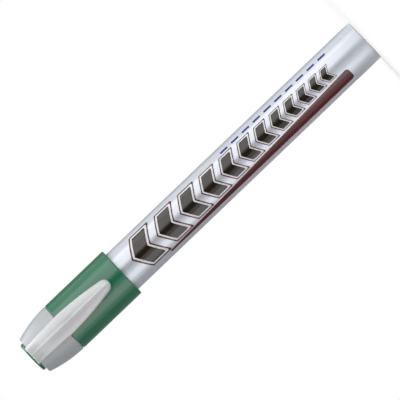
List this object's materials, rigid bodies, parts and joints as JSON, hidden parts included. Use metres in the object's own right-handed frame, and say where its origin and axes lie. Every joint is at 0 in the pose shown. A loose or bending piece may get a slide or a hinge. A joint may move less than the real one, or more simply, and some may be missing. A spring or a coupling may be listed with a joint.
{
  "type": "paint marker",
  "caption": "Valve-action paint marker: a round aluminium barrel with a flat rear end, a pull-off cap with a grey crown and sprung pocket clip, and a spring-loaded bullet nib.",
  "frame": {"origin": "centre of the barrel's flat rear face", "axes": "+Z along the marker's axis, from the rear face to the cap; the pocket clip faces -Y; the marker stands on its rear end"},
  "size_m": [0.0176, 0.0197, 0.142],
  "materials": {
    "barrel_metal": "satin lacquer",
    "cap_green": "gloss",
    "crown_grey": "fine satin",
    "inner_white": "natural",
    "nose_white": "satin",
    "valve_plastic": "natural",
    "seal_rubber": "matte",
    "spring_steel": "drawn wire",
    "ball_steel": "polished",
    "nib_fibre": "bonded fibre"
  },
  "bodies": {
    "barrel": {"barrel": "barrel_metal", "valve_body": "valve_plastic", "barrel_gasket": "seal_rubber", "valve_cage": "valve_plastic", "valve_spring": "spring_steel", "nose_cone": "nose_white"},
    "nib": {"nib": "nib_fibre", "valve_rod": "valve_plastic", "valve_seal": "seal_rubber"},
    "ball": {"mixing_ball": "ball_steel"},
    "cap": {"cap_shell": "cap_green", "cap_crown": "crown_grey", "inner_cap": "inner_white"},
    "clip": {"clip_arm": "crown_grey"}
  },
  "joints": [
    {"name": "cap_pull", "type": "slide", "parent": "barrel", "child": "cap", "axis": [0, 0, 1], "range_m": [0, 0.045]},
    {"name": "nib_press", "type": "slide", "parent": "barrel", "child": "nib", "axis": [0, 0, -1], "range_m": [0, 0.002], "stiffness_N_per_m": 400, "springref_m": -0.003, "deforming": ["valve_spring"]},
    {"name": "ball_rattle", "type": "slide", "parent": "barrel", "child": "ball", "axis": [0, 0, 1], "range_m": [0, 0.0797]},
    {"name": "clip_flex", "type": "hinge", "parent": "cap", "child": "clip", "pos_m": [0, -0.0109, 0.12785], "axis": [-1, 0, 0], "range_deg": [0, 6], "stiffness_Nm_per_rad": 0.2}
  ]
}
